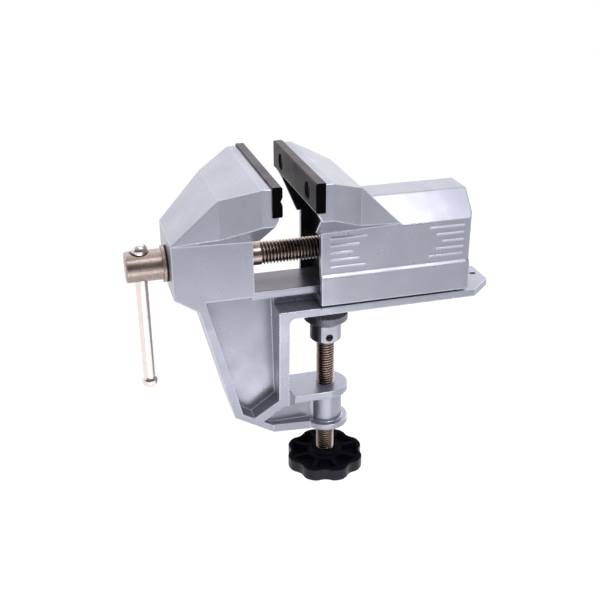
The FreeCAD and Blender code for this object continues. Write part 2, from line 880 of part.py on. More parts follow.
def slide_hollow(label, start, finish):
    """A stretch of the housing's inside, one wall smaller than its outside and open above the lips."""
    body = new_body(label)
    section = sketch_on(body, "YZ_Plane", start)
    outline(section, both_halves([
        ("slide_low_half - slide_wall", "rail_under - rail_clearance"),
        ("slide_low_half - slide_wall", "slide_step_low - slide_wall"),
        ("slide_inner_half", "slide_step_high - slide_wall / 2"),
        ("slide_inner_half", "slide_shoulder - slide_wall / 2"),
        ("slide_roof_half - slide_wall / 2", "slide_roof - slide_wall"),
    ]))
    pad(body, section, f"{finish} - ({start})")
    return body


def rail_slot():
    """The T slot that the rail runs in, open at the front and closed by the back wall."""
    body = new_body("rail_slot")
    section = sketch_on(body, "YZ_Plane", "moving_face")
    outline(section, both_halves([
        ("neck_half + rail_clearance", "0"),
        ("neck_half + rail_clearance", "rail_under - rail_clearance"),
        ("rail_half + rail_clearance", "rail_under - rail_clearance"),
        ("rail_half + rail_clearance", "rail_top + rail_clearance"),
    ]))
    pad(body, section, "slide_back - slide_wall - moving_face")
    return body


def hood_hollow():
    """The hollow under the jaw head, wide at the front and narrower towards the nut's wall."""
    body = new_body("hood_hollow")
    flank_slope = "(casting_half - bend_half) / (bend_back - strip_long)"
    flank_half = f"casting_half - (nut_front - moving_rear - strip_long) * {flank_slope}"
    sections = []
    for place_x, half in (("moving_rear - ledge_front - free_gap", "casting_half - hood_wall"),
                          ("nut_front", f"{flank_half} - hood_flank_wall")):
        section = sketch_on(body, "YZ_Plane", place_x)
        outline(section, both_halves([
            ("slide_inner_half", "slide_shoulder - slide_wall"),
            ("slide_inner_half", "slide_shoulder"),
            (half, f"slide_shoulder + ({half} - slide_inner_half) * skirt_slope"),
            (half, "casting_top - hood_ceiling_drop"),
        ]))
        sections.append(section)
    loft(body, "AdditiveLoft", sections)
    return body


def movable_casting():
    head = jaw_head("movable_jaw_head", "moving_rear", 1, "slide_half", "slide_shoulder",
                    "bend_back + (casting_top - bend_drop - slide_shoulder) / nose_slope", blunt=False)
    whole = joined("movable_blank", [head, slide_housing()])
    nut_bore = rod("nut_bore", "x", ("nut_front - free_gap", "0", "spindle_height"),
                   "nut_radius + running_fit", "nut_long + 2 * free_gap")
    pin_bore = rod("nut_pin_bore", "z", ("nut_front + nut_long / 2", "0", "0"),
                   "nut_pin_radius + running_fit", "spindle_height")
    return less("movable_jaw", whole, [
        slide_hollow("front_hollow", "moving_face", "nut_front"),
        slide_hollow("rear_hollow", "nut_back", "slide_back - slide_wall"),
        rail_slot(), hood_hollow(), nut_bore, pin_bore,
        *jaw_screw_holes("movable_screw_hole", "moving_rear", 1)])


# ---------------------------------------------------------------- main screw, its nut, washers and handle

def spindle():
    """The main screw turned about its own axis, then cross-drilled for the tommy bar."""
    body = new_body("spindle_turning")
    profile = sketch_on(body, "XZ_Plane")
    groove = "retainer_place"
    outline(profile, [
        ("head_back", "0"),
        ("head_back", "head_radius - head_bevel"),
        ("head_back + head_bevel", "head_radius"),
        ("head_front", "head_radius"),
        ("head_front", "screw_radius"),
        (f"{groove} - groove_long / 2", "screw_radius"),
        (f"{groove} - groove_long / 2", "groove_radius"),
        (f"{groove} + groove_long / 2", "groove_radius"),
        (f"{groove} + groove_long / 2", "screw_radius"),
        ("screw_back - screw_bevel", "screw_radius"),
        ("screw_back", "screw_radius - screw_bevel"),
        ("screw_back", "0"),
    ])
    turned(body, profile, "H_Axis")
    place(body, ("0", "0", "spindle_height"))
    bar_bore = rod("bar_bore", "z", ("bar_place", "0", "spindle_height - 2 * head_radius"),
                   "bar_radius + running_fit", "4 * head_radius")
    seats = [
        cone("upper_seat", "z", ("bar_place", "0", "spindle_height + head_radius - bar_seat_deep"),
             "bar_radius + running_fit", "bar_seat_radius", "bar_seat_deep"),
        cone("lower_seat", "z", ("bar_place", "0", "spindle_height - head_radius"),
             "bar_seat_radius", "bar_radius + running_fit", "bar_seat_deep"),
    ]
    return less("main_screw", body, [bar_bore, *seats])


def washer(label, start, radius, thick):
    disc = rod(f"{label}_disc", "x", (start, "0", "spindle_height"), radius, thick)
    hole = rod(f"{label}_hole", "x", (f"{start} - {thick}", "0", "spindle_height"),
               "screw_radius + bolt_clearance", f"3 * {thick}")
    return less(label, disc, [hole])


def retaining_screw():
    """A dog-point screw from under the column's heel into the groove of the spindle."""
    top = "spindle_height - screw_radius - free_gap"
    shank = rod("retainer_shank", "z", ("retainer_place", "0", "retainer_low"), "retainer_radius",
                f"{top} - retainer_low - dog_long + screw_radius - groove_radius")
    dog = rod("retainer_dog", "z", ("retainer_place", "0", "retainer_low"), "dog_radius",
              "spindle_height - groove_radius - free_gap - retainer_low")
    slot = block("retainer_slot",
                 ("retainer_place - retainer_radius", "-driver_slot_wide / 2", "retainer_low"),
                 ("2 * retainer_radius", "driver_slot_wide", "driver_slot_deep"))
    return less("spindle_retaining_screw", joined("retainer_blank", [shank, dog]), [slot])


def nut_and_pin():
    centre = "nut_front + nut_long / 2"
    drum = rod("nut_drum", "x", ("nut_front", "0", "spindle_height"), "nut_radius", "nut_long")
    thread = rod("nut_thread", "x", ("nut_front - free_gap", "0", "spindle_height"),
                 "screw_radius + running_fit", "nut_long + 2 * free_gap")
    pin_low = "rail_top + 2 * rail_clearance"
    pin_high = "spindle_height - nut_radius + nut_pin_in"
    pin_hole = rod("nut_pin_hole", "z", (centre, "0", pin_low), "nut_pin_radius + running_fit",
                   f"{pin_high} + running_fit - ({pin_low})")
    nut = less("screw_nut", drum, [thread, pin_hole])
    pin = rod("nut_pin", "z", (centre, "0", pin_low), "nut_pin_radius", f"{pin_high} - ({pin_low})")
    return [nut, pin]


def tommy_bar():
    """The handle bar with a ball pressed on each end."""
    bar = rod("tommy_bar", "z", ("bar_place", "0", "lower_cap_height"), "bar_radius", "bar_drop")
    caps = []
    for label, height, start in (
            ("tommy_bar_cap_upper", "upper_cap_height", "upper_cap_height - cap_radius"),
            ("tommy_bar_cap_lower", "lower_cap_height", "lower_cap_height")):
        sphere = ball(f"{label}_ball", ("bar_place", "0", height), "cap_radius")
        bore = rod(f"{label}_bore", "z", ("bar_place", "0", start), "bar_radius", "cap_radius")
        caps.append(less(label, sphere, [bore]))
    return [bar, *caps]


# ---------------------------------------------------------------- table clamp

def clamp_screw():
    """The clamp screw: a spigot that turns in the pad, the thread, and a hexagon held by the knob."""
    body = new_body("clamp_screw")
    profile = sketch_on(body, "XZ_Plane")
    shoulder = "pad_low - free_gap"
    outline(profile, [
        ("0", "spigot_top"),
        ("spigot_radius - screw_bevel", "spigot_top"),
        ("spigot_radius", "spigot_top - screw_bevel"),
        ("spigot_radius", "-grub_drop + spigot_groove_long / 2"),
        ("spigot_groove_radius", "-grub_drop + spigot_groove_long / 2"),
        ("spigot_groove_radius", "-grub_drop - spigot_groove_long / 2"),
        ("spigot_radius", "-grub_drop - spigot_groove_long / 2"),
        ("spigot_radius", shoulder),
        ("clamp_radius", shoulder),
        ("clamp_radius", "clamp_low"),
        ("0", "clamp_low"),
    ])
    turned(body, profile)
    hexagon = sketch_on(body, "XY_Plane", "clamp_low")
    outline(hexagon, hexagon_corners("clamp_hex_radius"))
    pad(body, hexagon, "clamp_hex_tall")
    return swing(body, "knob_turn")


def hexagon_corners(radius):
    """Six corners at the radius, with two flats across the X axis."""
    half = f"{radius} / 2"
    tall = f"{radius} * sqrt(3) / 2"
    return [(radius, "0"), (half, tall), (f"-{half}", tall), (f"-{radius}", "0"), (f"-{half}", f"-{tall}"),
            (half, f"-{tall}")]


def swivel_pad():
    """The pad that presses under the table: a serrated disc, a cone and a body with a flat on one side."""
    body = new_body("pad_turning")
    profile = sketch_on(body, "XZ_Plane")
    outline(profile, [
        ("0", "-pad_drop"),
        ("pad_radius", "-pad_drop"),
        ("pad_radius", "-pad_drop - pad_band"),
        ("pad_body_radius", "-pad_drop - pad_band - pad_cone_tall"),
        ("pad_body_radius", "pad_low + pad_rounding"),
        ("pad_body_radius - pad_rounding", "pad_low"),
        ("0", "pad_low"),
    ])
    turned(body, profile)
    flat = sketch_on(body, "XY_Plane", "-pad_drop - pad_band - pad_cone_tall")
    outline(flat, [
        ("pad_radius", "-pad_flat"),
        ("-pad_radius", "-pad_flat"),
        ("-pad_radius", "-2 * pad_flat"),
        ("pad_radius", "-2 * pad_flat"),
    ])
    pocket(body, flat, "pad_tall")
    grooves = sketch_on(body, "XZ_Plane")
    pitches = int(amount("pad_radius / serration_pitch"))
    for step in range(-pitches, pitches + 1):
        middle_x = f"{step} * serration_pitch"
        outline(grooves, [
            (f"{middle_x} - (serration_pitch - serration_land) / 2", "-pad_drop"),
            (f"{middle_x} + (serration_pitch - serration_land) / 2", "-pad_drop"),
            (middle_x, "-pad_drop - serration_deep"),
        ])
    pocket(body, grooves, both_ways=True)
    socket = rod("pad_socket", "z", ("0", "0", "pad_low - free_gap"), "spigot_radius + running_fit",
                 "spigot_long + free_gap")
    grub_bore = rod("grub_bore", "y", ("0", "-pad_body_radius", "-grub_drop"), "grub_radius + running_fit",
                    "pad_body_radius")
    return less("swivel_pad", body, [socket, grub_bore])


def grub_screw():
    """A slotted screw in the pad, whose dog point reaches into the groove of the clamp screw's spigot."""
    steps = [rod(f"grub_{name}", "y", ("0", "-pad_flat + grub_sunk", "-grub_drop"), radius,
                 f"pad_flat - grub_sunk - free_gap - {reach}")
             for name, radius, reach in (("shank", "grub_radius", "spigot_radius"),
                                         ("dog", "grub_dog_radius", "spigot_groove_radius"))]
    slot = block("grub_slot", ("-grub_radius", "-pad_flat", "-grub_drop - grub_slot_wide / 2"),
                 ("2 * grub_radius", "grub_sunk + grub_slot_deep", "grub_slot_wide"))
    return less("pad_grub_screw", joined("grub_blank", steps), [slot])


def knob():
    """A moulded knob: scallops round its edge, a pocket behind each, and a hexagon socket below."""
    body = new_body("clamp_knob")
    disc = sketch_on(body, "XY_Plane", "knob_low")
    ring(disc, "0", "0", "knob_radius")
    pad(body, disc, "knob_tall")
    scallop = sketch_on(body, "XY_Plane", "-knob_top_drop")
    ring(scallop, "knob_valley_radius + knob_scallop_radius", "0", "knob_scallop_radius")
    cut = pocket(body, scallop)
    around_z(body, [cut], KNOB_LOBES)
    dress(body, "Fillet", "knob_lobe_rounding", lambda edge: along(edge, "z"))
    dress(body, "Fillet", "knob_edge",
          lambda edge: at(middle(edge).z, "-knob_top_drop") or at(middle(edge).z, "knob_low"))
    hollow = sketch_on(body, "XY_Plane", "-knob_top_drop")
    outline(hollow, [
        ("knob_pocket_inner", "knob_pocket_low_half"),
        ("knob_pocket_outer", "knob_pocket_high_half"),
        ("knob_pocket_outer", "-knob_pocket_high_half"),
        ("knob_pocket_inner", "-knob_pocket_low_half"),
    ])
    cut = pocket(body, hollow, "knob_pocket_deep")
    around_z(body, [cut], KNOB_LOBES)
    hub = sketch_on(body, "XY_Plane", "-knob_top_drop")
    ring(hub, "0", "0", "knob_hub_radius")
    pad(body, hub, "knob_hub_tall")
    bore = sketch_on(body, "XY_Plane")
    ring(bore, "0", "0", "clamp_radius")
    pocket(body, bore)
    socket = sketch_on(body, "XY_Plane", "clamp_low + clamp_hex_tall")
    outline(socket, hexagon_corners("clamp_hex_radius"))
    pocket(body, socket)
    return swing(body, "knob_turn")


# ---------------------------------------------------------------- everything, tested and written

pieces = [frame_casting(), movable_casting(), spindle(), *nut_and_pin(), retaining_screw(), *tommy_bar(),
          washer("thrust_washer", "head_front", "bronze_radius", "bronze_thick"),
          washer("back_washer", "column_back - fibre_thick", "fibre_radius", "fibre_thick"),
          clamp_screw(), swivel_pad(), grub_screw(), knob()]
for jaw, face, out in (("fixed", "fixed_face", -1), ("movable", "moving_face", 1)):
    pieces.append(jaw_plate(f"{jaw}_jaw_plate", face, out, grooved=jaw == "fixed"))
    for name, side in (("near", "-"), ("far", "")):
        pieces.append(jaw_plate_screw(f"{jaw}_jaw_screw_{name}", face, out, side))

doc.recompute()
for thing in doc.Objects:
    if {"Invalid", "Error"} & set(thing.State):
        raise ValueError(f"{thing.Label} failed: {thing.State}")
for piece in pieces:
    if piece.Shape.isNull() or not piece.Shape.isValid():
        raise ValueError(f"{piece.Label} has no valid shape")

os.makedirs("parts", exist_ok=True)
for piece in pieces:
    piece.Shape.exportStep(f"parts/{piece.Label}.step")
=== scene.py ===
"""Looks of a clamp-on bench vise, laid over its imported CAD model: finishes, cut threads, light and camera."""

import math

import bmesh
import bpy
from bpy.props import FloatProperty, FloatVectorProperty, IntProperty, PointerProperty
from bpy.types import Operator, Panel, PropertyGroup
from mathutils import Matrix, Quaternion, Vector


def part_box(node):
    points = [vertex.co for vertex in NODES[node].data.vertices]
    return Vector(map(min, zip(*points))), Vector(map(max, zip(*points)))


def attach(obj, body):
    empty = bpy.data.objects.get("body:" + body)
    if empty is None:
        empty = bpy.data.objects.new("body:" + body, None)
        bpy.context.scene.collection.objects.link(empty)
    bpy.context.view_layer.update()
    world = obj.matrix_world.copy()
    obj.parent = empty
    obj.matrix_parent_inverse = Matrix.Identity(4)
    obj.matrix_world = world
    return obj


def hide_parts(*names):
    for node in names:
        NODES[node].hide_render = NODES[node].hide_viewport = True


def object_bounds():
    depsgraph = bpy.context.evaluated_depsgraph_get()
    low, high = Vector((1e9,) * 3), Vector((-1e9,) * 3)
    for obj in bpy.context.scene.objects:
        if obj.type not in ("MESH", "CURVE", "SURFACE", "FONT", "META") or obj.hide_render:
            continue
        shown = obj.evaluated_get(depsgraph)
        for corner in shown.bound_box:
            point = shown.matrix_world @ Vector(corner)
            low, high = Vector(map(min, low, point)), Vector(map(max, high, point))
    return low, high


bl_info = {
    "name": "Bench vise looks",
    "version": (1, 0, 0),
    "blender": (4, 5, 0),
    "location": "3D View > Sidebar > Bench Vise",
    "description": "Finishes, threads, light and camera for a clamp-on bench vise",
    "category": "Object",
}

MM = 0.001

PLATE_TO_COLUMN = 9.9 * MM      # from the fixed plate's face back to the front of the column
THREAD_LAP = 0.2 * MM           # how far the cut thread reaches into the plain neck
THREAD_DEPTH = 0.60             # depth of a thread as a share of its pitch
SAME_PLACE = 1e-7               # corners closer than this are one corner
TURNED_SHARP = 30.0             # edges over this many degrees stay sharp
THREAD_SHARP = 20.0             # and over this many on a thread

# Edges of the lacquer and the zinc are painted brighter: a painted highlight, partly also edge wear.
PAINT_SHINE = 2.3               # how many times brighter than the lacquer its edges get
ZINC_SHINE = 1.4
FINE_SPECKLE = 0.5              # most of the second colour that the speckle lets through

# lowest and highest millimetre of each ledge darkened with dust and painted shade, and its share of that
# darkening
DUST_AND_SHADE_LEDGES = {"rail": (12.4, 14.6, 1.0), "tongue": (-52.0, -50.6, 0.1)}
LEDGE_FADE = 0.4                # millimetres over which the dust and painted shade fade in and out

SENSOR_WIDE = 36.0
FLOOR_HALF = 6.0

# name, place, width and height in metres, and watts
SOFTBOXES = (
    ("key_softbox", (0.24, -0.52, 0.87), 0.45, 0.35, 3.6),
    ("left_softbox", (-0.85, -0.15, 0.30), 0.35, 0.50, 0.4),
    ("low_softbox", (-0.05, -0.40, -0.27), 0.45, 0.20, 0.5),
)

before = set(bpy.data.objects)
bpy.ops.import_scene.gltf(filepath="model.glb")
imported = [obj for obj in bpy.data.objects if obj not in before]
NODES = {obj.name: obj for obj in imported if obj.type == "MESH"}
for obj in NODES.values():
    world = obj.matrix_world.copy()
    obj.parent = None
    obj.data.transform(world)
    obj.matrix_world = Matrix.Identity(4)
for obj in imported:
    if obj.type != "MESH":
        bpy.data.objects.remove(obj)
CAD_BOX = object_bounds()


# ---------------------------------------------------------------- settings

def length(name, description, millimetres):
    return FloatProperty(name=name, description=description, default=millimetres * MM, min=0.0,
                         subtype="DISTANCE", unit="LENGTH", precision=5)


def colour(name, description, red, green, blue):
    return FloatVectorProperty(name=name, description=description, default=(red, green, blue), size=3,
                               min=0.0, max=1.0, subtype="COLOR")


def factor(name, description, value):
    return FloatProperty(name=name, description=description, default=value, min=0.0, max=1.0,
                         subtype="FACTOR")


def brightness(name, description, value):
    return FloatProperty(name=name, description=description, default=value, min=0.0)


class ThreadSizes(PropertyGroup):
    main_pitch: length("Main pitch", "Lead of the main screw's thread", 1.75)
    clamp_pitch: length("Clamp pitch", "Lead of the clamp screw's thread", 1.5)
    main_outer: length("Main radius", "Outer radius of the main screw's thread", 6.0)
    clamp_outer: length("Clamp radius", "Outer radius of the clamp screw's thread", 5.0)
    neck_end: length("Neck", "How far the main screw's plain neck stands out of the column", 7.3)
    bar_hole: length("Bar hole", "Radius of the hole for the tommy bar", 3.25)
    hole_mouth: length("Hole mouth", "Radius of the coned mouths of that hole", 5.2)
    hole_cone: length("Mouth depth", "Depth of the coned mouths", 3.2)
    bar_back: length("Bar place", "From the end of the screw's head to the tommy bar's axis", 7.5)
    head_long: length("Head length", "Length of the main screw's head", 18.3)
    head_bevel: length("Head bevel", "Bevel at the end of that head", 0.6)
    neck_groove: length("Neck groove", "Radius of the groove that the retaining screw runs in", 4.7)
    neck_groove_wide: length("Neck groove width", "Width of that groove", 4.2)
    spigot: length("Spigot", "Radius of the clamp screw's end inside the pad", 4.0)
    spigot_groove: length("Spigot groove", "Radius of the groove that the grub screw runs in", 3.2)
    spigot_groove_wide: length("Spigot groove width", "Width of that groove", 3.0)
    pad_gap: length("Pad gap", "Gap between the pad and the thread under it", 0.35)
    end_bevel: length("End bevel", "Bevel at the free ends of the screws", 1.0)
    steps: IntProperty(name="Steps a turn", description="Faces round one turn of a thread",
                       default=40, min=12, max=96)


class FinishColours(PropertyGroup):
    paint: colour("Silver paint", "Silver lacquer on the castings", 0.345, 0.352, 0.42)
    paint_dull: colour("Dull paint", "Darker patches of the lacquer", 0.30, 0.305, 0.365)
    # Dust with painted shade: the rail's top lies in the shadow of the jaws and of the screw.
    dust_and_shade: colour("Grime", "Oily dust on the rail and the tongue", 0.104, 0.089, 0.112)
    # Painted shade: the near-black that the sliding jaw's hollow is painted, as it lies in shadow.
    shade: colour("Unpainted inside", "Bare dark metal in the hollow of the sliding jaw", 0.03, 0.027, 0.032)
    plate: colour("Jaw steel", "Blackened jaw plates", 0.012, 0.0085, 0.011)
    plate_rub: colour("Rubbed steel", "Where the blackening is rubbed thin", 0.039, 0.031, 0.038)
    # Painted sheen: the plates' up-facing tops are painted this lighter grey for the overhead light they
    # reflect.
    plate_top_sheen: colour("Plate tops", "Duller grey on the plates' tops", 0.073, 0.061, 0.076)
    plate_end: colour("Plate ends", "Thick black on the plates' ends", 0.0039, 0.0034, 0.0039)
    # On the screws' edges and thread crests this colour is a painted highlight.
    nickel: colour("Nickel", "Plating of the bar and of the screws' edges", 0.86, 0.775, 0.755)
    nickel_stain: colour("Nickel stain", "Warmer, duller plating", 0.66, 0.55, 0.50)
    thread_dark: colour("Thread", "Oily plating on the threads and the main screw's head", 0.42, 0.345, 0.32)
    # Darker at the thread roots and in the head's clouds; on the clamp thread's side towards the arm it is
    # painted shade.
    thread_deep_and_shade: colour("Thread stain", "Old oil between the threads and on that head", 0.095, 0.062, 0.05)
    zinc: colour("Zinc", "Plated pad under the table", 0.42, 0.43, 0.48)
    # Painted shade on the pad's disc, its top and its side towards the arm, which the base plate and the arm
    # shade.
    zinc_painted_shade: colour("Stained zinc", "Oil on the pad's side towards the arm", 0.040, 0.036, 0.046)
    bronze: colour("Bronze", "Thrust washer", 0.17, 0.12, 0.065)
    fibre: colour("Fibre", "Dark washer behind it", 0.014, 0.013, 0.013)
    oxide: colour("Black oxide", "Small screws", 0.012, 0.012, 0.013)
    steel: colour("Bare steel", "Nut and pin inside the jaw", 0.42, 0.42, 0.43)
    plastic: colour("Black plastic", "Knob of the clamp screw", 0.0080, 0.0070, 0.0090)
    # Painted sheen: the bluer tint of the knob's sides and edges, where they reflect the light in front.
    plastic_side_sheen: colour("Rubbed plastic", "Bluer patches on the knob's sides", 0.005, 0.0078, 0.026)
    soft_edge: length("Soft edge", "Radius that edges are shaded with", 0.7)
    cast_edge: length("Cast edge", "Radius that the castings' edges are shaded with", 1.1)
    # These set how strongly edges take a painted highlight, partly also standing for edge wear.
    edge_shine: factor("Edge shine", "How much paint and plating brighten along edges", 0.55)
    paint_edge: factor("Paint edge", "How much the lacquer brightens along edges", 0.95)


class StudioSettings(PropertyGroup):
    camera_place: FloatVectorProperty(name="Camera", description="Where the camera stands", size=3,
                                      unit="LENGTH", default=(-0.13047, -0.41569, 0.20142))
    camera_aim: FloatVectorProperty(name="Aim", description="Point at the middle of the view", size=3,
                                    unit="LENGTH", default=(-0.01345, 0.00321, -0.00105))
    camera_roll: FloatProperty(name="Roll", description="Tilt of the camera about its line of sight",
                               default=math.radians(-0.34), subtype="ANGLE", unit="ROTATION")
    lens: FloatProperty(name="Lens", description="Focal length in millimetres on a 36 mm sensor",
                        default=53.66)
    floor_drop: length("Floor drop", "How far the floor lies under the lowest point", 200.0)
    floor_colour: colour("Floor", "Pale studio floor", 0.96, 0.96, 0.96)
    front_light: brightness("Front", "Brightness of the room on the camera's side", 0.12)
    back_light: brightness("Behind", "Brightness of the room behind the vise", 1.50)
    top_light: brightness("Overhead", "Extra brightness straight overhead", 0.45)


# ---------------------------------------------------------------- finishes

class Nodes:
    """The node tree of one material, written left to right."""

    def __init__(self, name):
        self.material = bpy.data.materials.new(name)
        self.material.use_nodes = True
        self.tree = self.material.node_tree
        self.tree.nodes.clear()
        output = self.add("ShaderNodeOutputMaterial")
        self.surface = self.add("ShaderNodeBsdfPrincipled")
        self.tree.links.new(self.surface.outputs["BSDF"], output.inputs["Surface"])

    def add(self, kind, **settings):
        made = self.tree.nodes.new(kind)
        for key, value in settings.items():
            setattr(made, key, value)
        return made

    def feed(self, target, **sources):
        """Each input of a node, named with _ for a space, gets a value or another node's output."""
        for key, source in sources.items():
            socket = target.inputs[key.replace("_", " ")]
            if isinstance(source, bpy.types.NodeSocket):
                self.tree.links.new(source, socket)
            else:
                socket.default_value = source
        return target

    def place(self):
        return self.add("ShaderNodeTexCoord").outputs["Object"]

    def grain(self, size, detail=2.0, stretch=(1.0, 1.0, 1.0)):
        """Noise whose blobs are about that size in metres, stretched along the axes."""
        shaped = self.feed(self.add("ShaderNodeMapping"), Vector=self.place(), Scale=stretch)
        noise = self.feed(self.add("ShaderNodeTexNoise"), Vector=shaped.outputs["Vector"], Scale=0.5 / size,
                          Detail=detail, Roughness=0.6)
        return noise.outputs["Fac"]

    def between(self, source, low, high, start=0.35, finish=0.65):
        """The source's middle stretch spread over low to high."""
        ranged = self.feed(self.add("ShaderNodeMapRange"), Value=source, From_Min=start, From_Max=finish,
                           To_Min=low, To_Max=high)
        return ranged.outputs["Result"]

    def blend(self, amount, first, second):
        mixed = self.add("ShaderNodeMix", data_type="RGBA")
        for index, source in ((0, amount), (6, first), (7, second)):
            socket = mixed.inputs[index]
            if isinstance(source, bpy.types.NodeSocket):
                self.tree.links.new(source, socket)
            elif index:
                socket.default_value = (*source[:3], 1.0)
            else:
                socket.default_value = source
        return mixed.outputs[2]

    def sums(self, operation, first, second):
        """A maths node over two sources or numbers; ABSOLUTE uses only the first."""
        made = self.add("ShaderNodeMath", operation=operation)
        for index, source in enumerate((first, second)):
            if isinstance(source, bpy.types.NodeSocket):
                self.tree.links.new(source, made.inputs[index])
            else:
                made.inputs[index].default_value = source
        return made.outputs[0]

    def parts_of(self, output):
        """X, Y and Z of the object's own Object or Normal coordinates."""
        own = self.add("ShaderNodeTexCoord").outputs[output]
        return self.feed(self.add("ShaderNodeSeparateXYZ"), Vector=own).outputs

    def ramp(self, source, start, finish):
        """0 where the source is at start, 1 where it is at finish."""
        return self.between(source, 0.0, 1.0, start, finish)

    def soft_normal(self, radius):
        return self.feed(self.add("ShaderNodeBevel", samples=6), Radius=radius).outputs["Normal"]

    def edges(self, normal):
        """1 along edges and 0 on flats, from how far the soft normal leans off the true one."""
        lean = self.add("ShaderNodeVectorMath", operation="DOT_PRODUCT")
        self.tree.links.new(normal, lean.inputs[0])
        self.tree.links.new(self.add("ShaderNodeNewGeometry").outputs["Normal"], lean.inputs[1])
        return self.between(lean.outputs["Value"], 1.0, 0.0, 0.90, 0.995)

    def bumps(self, normal, *layers):
        """Heights in metres laid over the normal one after another, as (source, height)."""
        for source, height in layers:
            raised = self.feed(self.add("ShaderNodeBump"), Height=source, Distance=height, Strength=1.0,
                               Normal=normal)
            normal = raised.outputs["Normal"]
        return normal


def worn_finish_with_painted_light(name, main, other, *, metallic, rough, speckle, cloud, bump, edge_highlight_colour=None,
                edge_highlight_amount=0.0, gloss=0.5, lines=None, radius=None, mix=0.6, stains_and_shades=(), dull=None):
    """A finish with cloudy colour, a fine speckle in its surface and brighter edges: the edges are a painted
    highlight, partly also standing for edge wear.

    rough is its smoothest and roughest value, speckle and cloud are sizes in metres, and lines, if there
    are any, are the axis letter and the spacing of fine tool marks across that axis. mix is the most of
    the second colour in the clouds. stains_and_shades are pairs: where, a function of the nodes that gives
    0 to 1 over the surface, and the colour it takes there; some are real stains and dust, and some are
    painted shade and painted sheen. dull is such a function for where there is no gloss.
    """
    looks = bpy.context.scene.vise_finish
    nodes = Nodes(name)
    soft = nodes.soft_normal(looks.soft_edge if radius is None else radius)
    fine = nodes.grain(speckle, 3.0)
    broad = nodes.grain(cloud, 4.0)
    tone = nodes.blend(nodes.between(broad, 0.0, mix), main, other)
    tone = nodes.blend(nodes.between(fine, 0.0, FINE_SPECKLE, 0.3, 0.7), tone, other)
    # Painted highlight along edges, partly also standing for edge wear.
    if edge_highlight_colour is not None:
        edge = nodes.sums("MULTIPLY", nodes.edges(soft), edge_highlight_amount)
        tone = nodes.blend(edge, tone, edge_highlight_colour)
    # Lays each stain over the colour: real stains and dust, and also painted shade and painted sheen.
    for where, stain in stains_and_shades:
        tone = nodes.blend(where(nodes), tone, stain)
    layers = [(fine, bump)]
    if lines:
        axis, spacing = lines
        stretch = tuple(1.0 if letter == axis else 0.02 for letter in "xyz")
        layers.append((nodes.grain(spacing, 2.0, stretch), bump))
    level = gloss if dull is None else nodes.between(dull(nodes), gloss, 0.0, 0.0, 1.0)
    nodes.feed(nodes.surface, Base_Color=tone, Metallic=metallic, Specular_IOR_Level=level,
               Roughness=nodes.between(broad, *rough), Normal=nodes.bumps(soft, *layers))
    return nodes.material


def ledge_dust_and_shade(nodes):
    """The tops of the rail and the arm's tongue, darkened with dust and with painted shade, most of it along
    the middle where the screw's painted shadow falls.
    """
    place, facing = nodes.parts_of("Object"), nodes.parts_of("Normal")
    across = nodes.sums("ABSOLUTE", place["Y"], 0.0)
    screw_shadow_streak = nodes.between(across, 1.0, 0.8, 1.0 * MM, 9.0 * MM)
    ledges = []
    for low, high, share in DUST_AND_SHADE_LEDGES.values():
        over = nodes.between(place["Z"], 0.0, share, low * MM, (low + LEDGE_FADE) * MM)
        under = nodes.ramp(place["Z"], high * MM, (high - LEDGE_FADE) * MM)
        ledges.append(nodes.sums("MULTIPLY", over, under))
    flat = nodes.sums("MULTIPLY", nodes.ramp(facing["Z"], 0.90, 0.98), screw_shadow_streak)
    return nodes.sums("MULTIPLY", nodes.sums("MAXIMUM", *ledges), flat)


def jaw_hollow_shade(nodes):
    """Painted shade inside the sliding jaw's hollow: walls that face its middle, and the nut's wall behind the
    opening.
    """
    place, facing = nodes.parts_of("Object"), nodes.parts_of("Normal")
    inward = nodes.sums("MULTIPLY", place["Y"], facing["Y"])
    walls = nodes.ramp(inward, -1.0 * MM, -3.0 * MM)
    front = nodes.ramp(facing["X"], -0.90, -0.98)
    behind = nodes.ramp(place["X"], -4.0 * MM, -3.0 * MM)
    return nodes.sums("MAXIMUM", walls, nodes.sums("MULTIPLY", front, behind))


# Where the plates' tops take their painted sheen.
def plate_top_sheen_mask(nodes):
    return nodes.ramp(nodes.parts_of("Normal")["Z"], 0.80, 0.98)


def plate_ends(nodes):
    ends = nodes.sums("ABSOLUTE", nodes.parts_of("Object")["Y"], 0.0)
    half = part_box("fixed_jaw_plate")[1].y
    return nodes.ramp(ends, half - 0.4 * MM, half - 0.1 * MM)


def arm_side(nodes):
    """The side of a piece that faces the arm, away from the light."""
    return nodes.ramp(nodes.parts_of("Normal")["X"], 0.15, -0.75)


def facing_up(nodes):
    return nodes.ramp(nodes.parts_of("Normal")["Z"], 0.45, 0.70)


def thread_roots(axis, height, outer, pitch):
    """Where a thread is cut deep, for a screw along x at that height or along z through the origin."""
    def where(nodes):
        place = nodes.parts_of("Object")
        first, second = place["Y"], place["X"]
        if axis == "x":
            second = nodes.sums("SUBTRACT", place["Z"], height)
        squares = [nodes.sums("MULTIPLY", part, part) for part in (first, second)]
        radius = nodes.sums("POWER", nodes.sums("ADD", *squares), 0.5)
        return nodes.ramp(radius, outer - 0.15 * pitch, outer - 0.45 * pitch)
    return where


def pad_disc_shade(nodes):
    """Painted shade on the pad's disc, which lies in the shadow under the base plate."""
    low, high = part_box("swivel_pad")
    return nodes.between(nodes.parts_of("Object")["Z"], 0.0, 0.6, high.z - 4.4 * MM, high.z - 3.8 * MM)


def wear(node, material):
    mesh = NODES[node].data
    mesh.materials.clear()
    mesh.materials.append(material)


# ---------------------------------------------------------------- turned pieces

